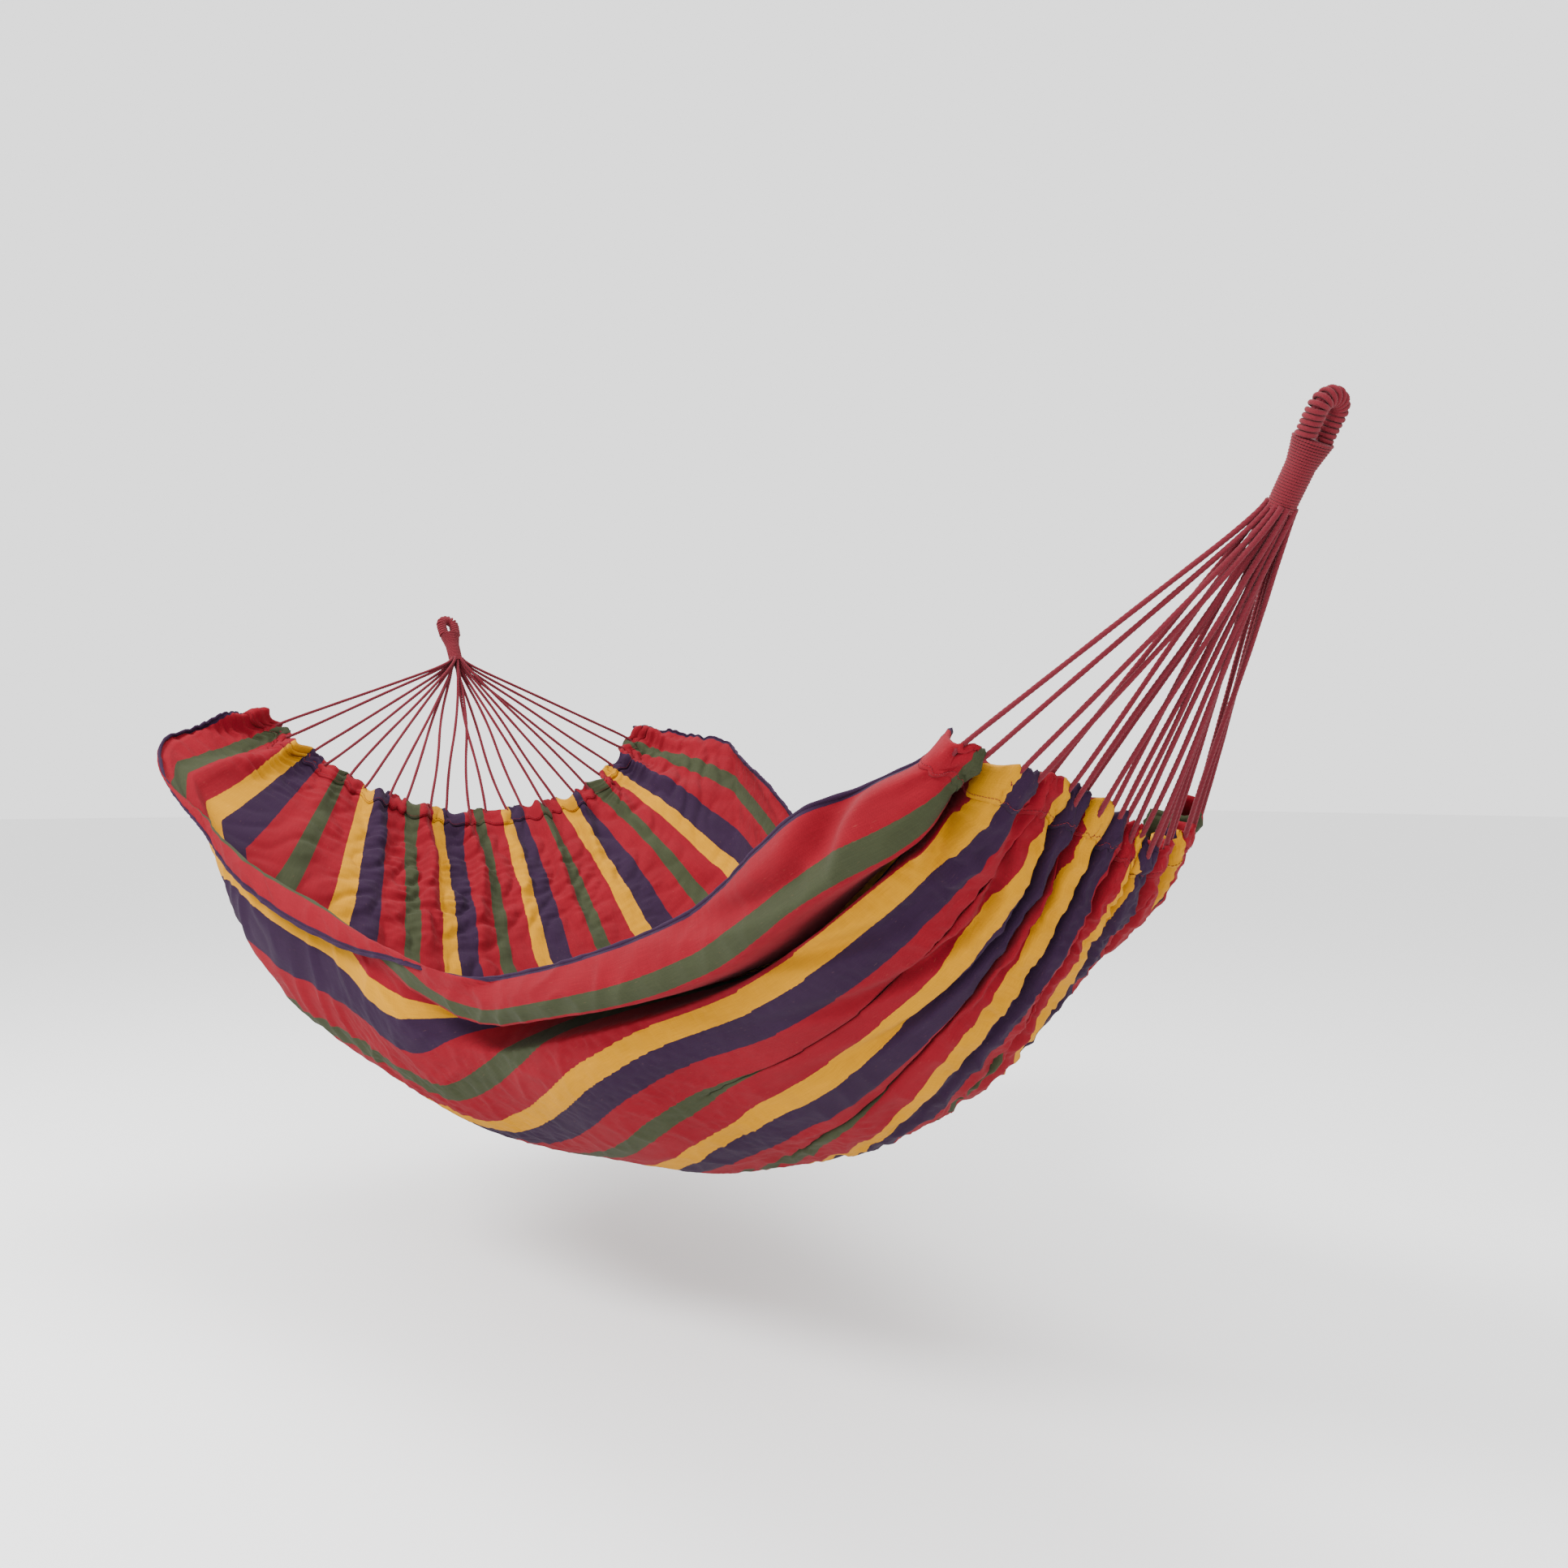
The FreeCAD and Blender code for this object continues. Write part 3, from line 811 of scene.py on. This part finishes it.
    def place(self, along, across):
        """A point on the folded cloth at metres along and across it."""
        row = np.interp(along, self.along, np.arange(len(self.along)))
        column = np.interp(across, self.across, np.arange(len(self.across)))
        low_row = min(int(row), len(self.along) - 2)
        low_column = min(int(column), len(self.across) - 2)
        part_row = row - low_row
        part_column = column - low_column
        corners = self.points[low_row : low_row + 2, low_column : low_column + 2]
        top = corners[0, 0] * (1 - part_column) + corners[0, 1] * part_column
        low = corners[1, 0] * (1 - part_column) + corners[1, 1] * part_column
        return top * (1 - part_row) + low * part_row


FABRIC = Cloth()
FABRIC_NORMALS = FABRIC.normals()


# ---------------------------------------------------------------- cords
def nurbs_line(name, points, resolution=24):
    """Points of a smooth curve with these control points."""
    curve = bpy.data.curves.new(name, "CURVE")
    curve.dimensions = "3D"
    line = curve.splines.new("NURBS")
    line.points.add(len(points) - 1)
    for place, point in zip(line.points, points):
        place.co = (*point, 1.0)
    line.order_u = 3
    line.use_endpoint_u = True
    line.resolution_u = resolution
    obj = bpy.data.objects.new(name, curve)
    mesh = bpy.data.meshes.new_from_object(obj)
    places = np.empty(len(mesh.vertices) * 3)
    mesh.vertices.foreach_get("co", places)
    bpy.data.objects.remove(obj)
    bpy.data.curves.remove(curve)
    bpy.data.meshes.remove(mesh)
    return places.reshape(-1, 3)


STRANDS = 3
LAY = 0.021  # length of one turn of the strands
CORD_STEP = 0.0016  # between the points of a drawn cord
FLUFF = 1.25  # soft strands stand out past the cord's nominal size


def rope_profile(diameter, seed, depth=0.13):
    """Three-strand cross-section, slightly uneven along the cord."""
    lobe = np.linspace(0, 2 * math.pi, 18, endpoint=False)
    shape = diameter / 2 * (1.03 - depth + depth * np.abs(np.cos(lobe * STRANDS / 2)) ** 0.7)
    random = np.random.default_rng(seed)
    phases = random.uniform(0, 6.28, 3)

    def profile(gone):
        swell = 1 + 0.025 * np.sin(gone * 90 + phases[0]) + 0.02 * np.sin(gone * 41 + phases[1])
        return shape[None] * swell[:, None], np.repeat(lobe[None], len(gone), axis=0)

    return profile


def round_profile(radius, count=16):
    ring = np.linspace(0, 2 * math.pi, count, endpoint=False)

    def profile(gone):
        return np.full((len(gone), count), radius), np.repeat(ring[None], len(gone), axis=0)

    return profile


def eased(points, reach):
    """The same line with its bends opened out over this many points; its ends stay."""
    steps = np.arange(-2 * reach, 2 * reach + 1)
    weights = np.exp(-((steps / reach) ** 2))
    weights /= weights.sum()
    padded = np.concatenate((
        2 * points[0] - points[2 * reach : 0 : -1],
        points,
        2 * points[-1] - points[-2 : -2 * reach - 2 : -1],
    ))
    return np.stack([np.convolve(padded[:, axis], weights, "valid") for axis in range(3)], axis=1)


def slack(end, leg):
    """How far a leg bows, as shares of its length: the middle far legs hang loose."""
    random = np.random.default_rng(100 * end + leg)
    middle = 1 - abs(leg - 10.5) / 10.5
    size = (0.004 + 0.030 * middle) if end == 0 else 0.004 + 0.008 * middle
    return random.uniform(-1, 1, 2) * size


def leg_width(end, share):
    """Metres across the flat cloth of the place that lies at this share of the hem."""
    row = 0 if end == 0 else -1
    return float(np.interp(share, FABRIC.share_across[row], FABRIC.across))


def leg_line(end, leg):
    """From inside the neck to inside the hem."""
    share = leg_share(end, leg)
    width = leg_width(end, share)
    edge = 0.0 if end == 0 else CLOTH_LENGTH
    inward = 1 if end == 0 else -1
    hem_in = FABRIC.place(edge + inward * LEG_DEPTH, width)
    start = neck_place(end, leg, -0.004)
    leave = neck_place(end, leg, 0.010)
    run = hem_in - leave
    bow = slack(end, leg) * np.linalg.norm(run)
    side = unit(np.cross(run, AXES[end]))
    rise = unit(np.cross(side, run))
    third = leave + run * 0.36 + side * bow[0] + rise * bow[1]
    later = leave + run * 0.70 - side * bow[1] * 0.8 + rise * bow[0] * 0.6
    return [start, leave, third, later, hem_in]


def tab_points(end, legs, count=3):
    """Through the hem from one leg to the other, inside its fold."""
    shares = np.linspace(leg_share(end, legs[0]), leg_share(end, legs[1]), count + 2)[1:-1]
    depth = LEG_DEPTH if end == 0 else CLOTH_LENGTH - LEG_DEPTH
    return [FABRIC.place(depth, leg_width(end, share)) for share in shares]


def make_loop(end, loop):
    legs = (2 * loop, 2 * loop + 1)
    first, second = (leg_line(end, leg) for leg in legs)
    line = nurbs_line(f"{ENDS[end]}_loop", first + tab_points(end, legs) + second[::-1])
    length = run_along(line)[-1]
    points = eased(evened(line, int(length / CORD_STEP)), 5)
    length = float(run_along(points)[-1])
    vertices, faces = tube_mesh(points, rope_profile(CORD * FLUFF, loop + 50 * end), 1 / LAY, AXES[end])
    name = f"{ENDS[end]}_cord_{loop + 1:02d}"
    cord = new_mesh_object(name, vertices, faces, ROPE)
    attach(cord, "bed")
    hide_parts(f"{ENDS[end]}_cord_loop_{loop + 1:02d}")


for end in (0, 1):
    for loop in range(LOOPS):
        make_loop(end, loop)


# ---------------------------------------------------------------- cloth, hems and stitching
THICK = 0.0011
HEM_SWELL = 0.0042  # half thickness of the folded hem over its cords
HEM_ONLY = 3  # outermost rows of the cloth that only the hem piece has
SIDE_ROLL = 0.0034
STITCH_PITCH = 0.0052
STITCH_LENGTH = 0.0038
STITCH_RADIUS = 0.0004


def make_cloth():
    rows = slice(HEM_ONLY, -HEM_ONLY)
    points = FABRIC.points[rows]
    vertices = points.reshape(-1, 3)
    cloth = new_mesh_object("bed_cloth_woven", vertices, grid_faces(*points.shape[:2]), CLOTH)
    set_uv(cloth, FABRIC.uv[rows].reshape(-1, 2))
    thicken(cloth, THICK)
    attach(cloth, "bed")
    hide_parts("bed_cloth")
    return cloth


def thicken(obj, thickness):
    modifier = obj.modifiers.new("thickness", "SOLIDIFY")
    modifier.thickness = thickness
    modifier.offset = 0.0


def make_hem(end):
    """Folded end of the cloth: out along one face, round the edge and back along the other."""
    count = FABRIC.hem_rows
    order = np.arange(count) if end == 0 else len(FABRIC.along) - 1 - np.arange(count)
    depth = FABRIC.along[order] if end == 0 else CLOTH_LENGTH - FABRIC.along[order]
    points = FABRIC.points[order]
    normals = FABRIC_NORMALS[order]
    shape = np.sin(np.clip(1 - depth / HEM, 0, 1) * math.pi / 2) ** 0.5
    lift = (0.0014 + HEM_SWELL * shape * np.clip(depth / 0.012, 0.55, 1))[:, None, None]
    outer = points + normals * lift
    inner = points - normals * lift
    edge = points[0] + unit(points[0] - points[1]) * 0.004
    rows = np.concatenate((outer[::-1], edge[None], inner))
    uv_rows = FABRIC.uv[order]
    over = 0.003 * np.sin(FABRIC.across * 3 + end)[None] + 0.002
    shifted = np.stack((uv_rows[..., 0] + over, uv_rows[..., 1]), axis=-1)
    uv = np.concatenate((shifted[::-1], uv_rows[:1], uv_rows))
    hem = new_mesh_object(
        f"{ENDS[end]}_end_hem_cloth", rows.reshape(-1, 3), grid_faces(*rows.shape[:2]), CLOTH
    )
    set_uv(hem, uv.reshape(-1, 2))
    thicken(hem, THICK)
    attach(hem, "bed")
    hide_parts(f"{ENDS[end]}_end_hem")
    return hem


def make_side_hem(name, column):
    """Rolled selvedge along one edge of the cloth."""
    line = FABRIC.points[FABRIC.hem_rows - 4 : -(FABRIC.hem_rows - 4), column]
    ring = np.linspace(0, 2 * math.pi, 12, endpoint=False)

    def profile(gone):
        radius = SIDE_ROLL * (1 + 0.12 * np.sin(gone * 61) + 0.10 * np.sin(gone * 140 + 1))
        return np.repeat(radius[:, None], 12, axis=1), np.repeat(ring[None], len(gone), axis=0)

    vertices, faces = tube_mesh(line, profile)
    hem = new_mesh_object(f"{name}_side_hem_roll", vertices, faces, SIDE_CLOTH)
    flat = np.broadcast_arrays(ring[None] * SIDE_ROLL, run_along(line)[:, None])
    set_uv(hem, np.stack(flat, axis=-1).reshape(-1, 2))
    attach(hem, "bed")
    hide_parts(f"{name}_side_hem")
    return hem


def make_stitches(end):
    """Short raised stitches along the sewn line of an end hem, on both faces."""
    row = FABRIC.hem_rows - 2 if end == 0 else len(FABRIC.along) - FABRIC.hem_rows + 1
    line = FABRIC.points[row]
    normals = FABRIC_NORMALS[row]
    parts = []
    for side in (-1, 1):
        track = line + normals * side * HEM_SWELL
        gone = run_along(track)
        for start in np.arange(0.004, gone[-1] - 0.006, STITCH_PITCH):
            places = np.linspace(start, start + STITCH_LENGTH, 4)
            points = np.stack([np.interp(places, gone, track[:, axis]) for axis in range(3)], 1)
            arch = np.array((-0.0008, 0.0004, 0.0004, -0.0008))[:, None] * side
            out = np.array([np.interp(start, gone, normals[:, axis]) for axis in range(3)])
            parts.append(tube_mesh(points + arch * out, round_profile(STITCH_RADIUS, 6)))
    vertices, faces = join_parts(parts)
    stitches = new_mesh_object(f"{ENDS[end]}_hem_stitches", vertices, faces, THREAD)
    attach(stitches, "bed")
    return stitches


BED_CLOTH = make_cloth()
HEMS = [make_hem(end) for end in (0, 1)]
SIDE_HEMS = [make_side_hem("front", 0), make_side_hem("back", -1)]
STITCHES = [make_stitches(end) for end in (0, 1)]

# ---------------------------------------------------------------- eyes and necks
EYE_FOOT = 0.015
EYE_BEND = 0.0165
EYE_STRAND = 0.030
EYE_CORE = 0.007
WRAP_OUTSIDE = 0.0124
FOOT_DROP = EYE_STRAND + EYE_BEND - WRAP_OUTSIDE
WRAP_CORD = 0.0060
NECK_CORD = 0.0036
BARE_FEET = 22  # points of the eye's line that the winding leaves bare at each foot
# Radius of a neck's winding, at distances from its top and from its lower face.
NECK_RADII = (0.0215, 0.0185, 0.0148, 0.0142, 0.0135)
NECK_PLACES = (0, 0.012, 0.030, -0.006, 0)


def eye_point(end, across, up):
    """A point in the plane of an eye, from the foot of its strands."""
    return HOOKS[end] - AXES[end] * FOOT_DROP + ACROSS * across + AXES[end] * up


def eye_line(end):
    """Up one strand, round the top and down the other."""
    lean = math.atan2(EYE_BEND - EYE_FOOT, EYE_STRAND)
    turn = np.linspace(math.pi + lean, -lean, 40)
    arch = [(EYE_BEND * math.cos(a), EYE_STRAND + EYE_BEND * math.sin(a)) for a in turn]
    throat = [(0.0085, -0.022), (0.0125, -0.012)]
    places = [(-a, b) for a, b in throat] + [(-EYE_FOOT, 0.0)] + arch
    places += [(EYE_FOOT, 0.0)] + [throat[1], throat[0]]
    return evened(np.array([eye_point(end, a, b) for a, b in places]), 160)


def helix(points, radius, pitch, first_side, per_turn=28):
    """A line wound round another; radius may change along it."""
    _, sides, ups = frames_along(points, first_side)
    gone = run_along(points)
    turns = gone[-1] / pitch
    places = np.linspace(0, gone[-1], int(turns * per_turn))

    def along(field):
        return np.stack([np.interp(places, gone, field[:, axis]) for axis in range(3)], axis=1)

    angle = 2 * math.pi * places / pitch
    wide = np.interp(places, gone, radius) if np.ndim(radius) else radius
    offset = np.cos(angle)[:, None] * along(sides) + np.sin(angle)[:, None] * along(ups)
    return along(points) + offset * np.reshape(wide, (-1, 1))


def bundle(points, cords, bundle_radius, cord_radius, seed):
    """Cords packed side by side along a line, slowly twisting together."""
    random = np.random.default_rng(seed)
    parts = []
    _, sides, ups = frames_along(points, ACROSS)
    gone = run_along(points)
    for number in range(cords):
        angle = 2 * math.pi * number / cords + random.uniform(-0.1, 0.1)
        turn = angle + gone * 9
        off = np.cos(turn)[:, None] * sides + np.sin(turn)[:, None] * ups
        line = points + off * (bundle_radius - cord_radius)
        parts.append(tube_mesh(line, rope_profile(cord_radius * 2, number), 1 / LAY, ACROSS))
    return parts


def make_eye(end):
    name = ENDS[end]
    line = eye_line(end)
    parts = [tube_mesh(line, round_profile(EYE_CORE * 0.8))]
    parts += bundle(line, 9, EYE_CORE, CORD / 2, end)
    vertices, faces = join_parts(parts)
    core = new_mesh_object(f"{name}_eye_cords", vertices, faces, ROPE)
    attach(core, "eyes")
    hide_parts(f"{name}_eye_core")
    wound = line[BARE_FEET:-BARE_FEET]
    coil = helix(wound, EYE_CORE + WRAP_CORD / 2 - 0.0006, WRAP_CORD * 1.06, ACROSS)
    coil = evened(coil, len(coil))
    vertices, faces = tube_mesh(coil, rope_profile(WRAP_CORD, 7 + end, 0.05), 1 / 0.016, AXES[end])
    whipping = new_mesh_object(f"{name}_eye_winding", vertices, faces, WHIPPING)
    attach(whipping, "eyes")
    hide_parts(f"{name}_eye_whipping")


def make_neck(end):
    name = ENDS[end]
    top = eye_point(end, 0, -0.002)
    low = NECKS[end] - AXES[end] * 0.002
    line = evened(np.array([top, low]), 60)
    gone = np.linspace(0, np.linalg.norm(top - low), 60)
    places = NECK_PLACES[:3] + tuple(gone[-1] + place for place in NECK_PLACES[3:])
    radius = np.interp(gone, places, NECK_RADII)
    ring = np.linspace(0, 2 * math.pi, 24, endpoint=False)

    def profile(_):
        return np.repeat(radius[:, None] - 0.001, 24, axis=1), np.repeat(ring[None], 60, axis=0)

    core_vertices, core_faces = tube_mesh(line, profile, 0, ACROSS)
    core = new_mesh_object(f"{name}_neck_cords", core_vertices, core_faces, ROPE)
    coil = helix(line, radius + 0.0006, 0.0033, ACROSS, 40)
    outline = rope_profile(NECK_CORD, 17 + end, 0.03)
    vertices, faces = tube_mesh(coil, outline, 1 / 0.011, AXES[end])
    whipping = new_mesh_object(f"{name}_neck_winding", vertices, faces, WHIPPING)
    for piece, node in ((core, "neck_core"), (whipping, "neck_whipping")):
        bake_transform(piece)
        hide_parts(f"{name}_{node}")


for end in (0, 1):
    make_eye(end)
    make_neck(end)


# ---------------------------------------------------------------- floor and light
def make_stage():
    low = CAD_BOX[0][2] - 0.25
    mesh = bpy.data.meshes.new("floor")
    size = 40
    mesh.from_pydata(
        [(-size, -size, low), (size, -size, low), (size, size, low), (-size, size, low)],
        [],
        [(0, 1, 2, 3)],
    )
    floor = bpy.data.objects.new("floor", mesh)
    bpy.context.scene.collection.objects.link(floor)
    shader = Shader("pale_floor")
    shader.surface.inputs["Base Color"].default_value = (0.86, 0.86, 0.86, 1)
    shader.surface.inputs["Roughness"].default_value = 0.9
    mesh.materials.append(shader.material)


def make_light(name, place, target, power, size):
    data = bpy.data.lights.new(name, "AREA")
    data.energy = power
    data.shape = "DISK"
    data.size = size
    light = bpy.data.objects.new(name, data)
    bpy.context.scene.collection.objects.link(light)
    light.location = place
    aim = Vector(target) - Vector(place)
    light.rotation_euler = aim.to_track_quat("-Z", "Y").to_euler()


def make_world():
    world = bpy.data.worlds.new("studio")
    bpy.context.scene.world = world
    world.use_nodes = True
    world.node_tree.nodes["Background"].inputs["Color"].default_value = (1, 1, 1, 1)
    world.node_tree.nodes["Background"].inputs["Strength"].default_value = 1.9


make_stage()
make_world()
MIDDLE = (1.3, 0.0, -0.6)
make_light("key", (0.4, -3.6, 2.6), MIDDLE, 330, 1.6)
make_light("fill", (4.5, -2.0, 1.6), MIDDLE, 60, 3.0)
make_light("top", (0.6, 0.6, 3.4), MIDDLE, 120, 2.5)
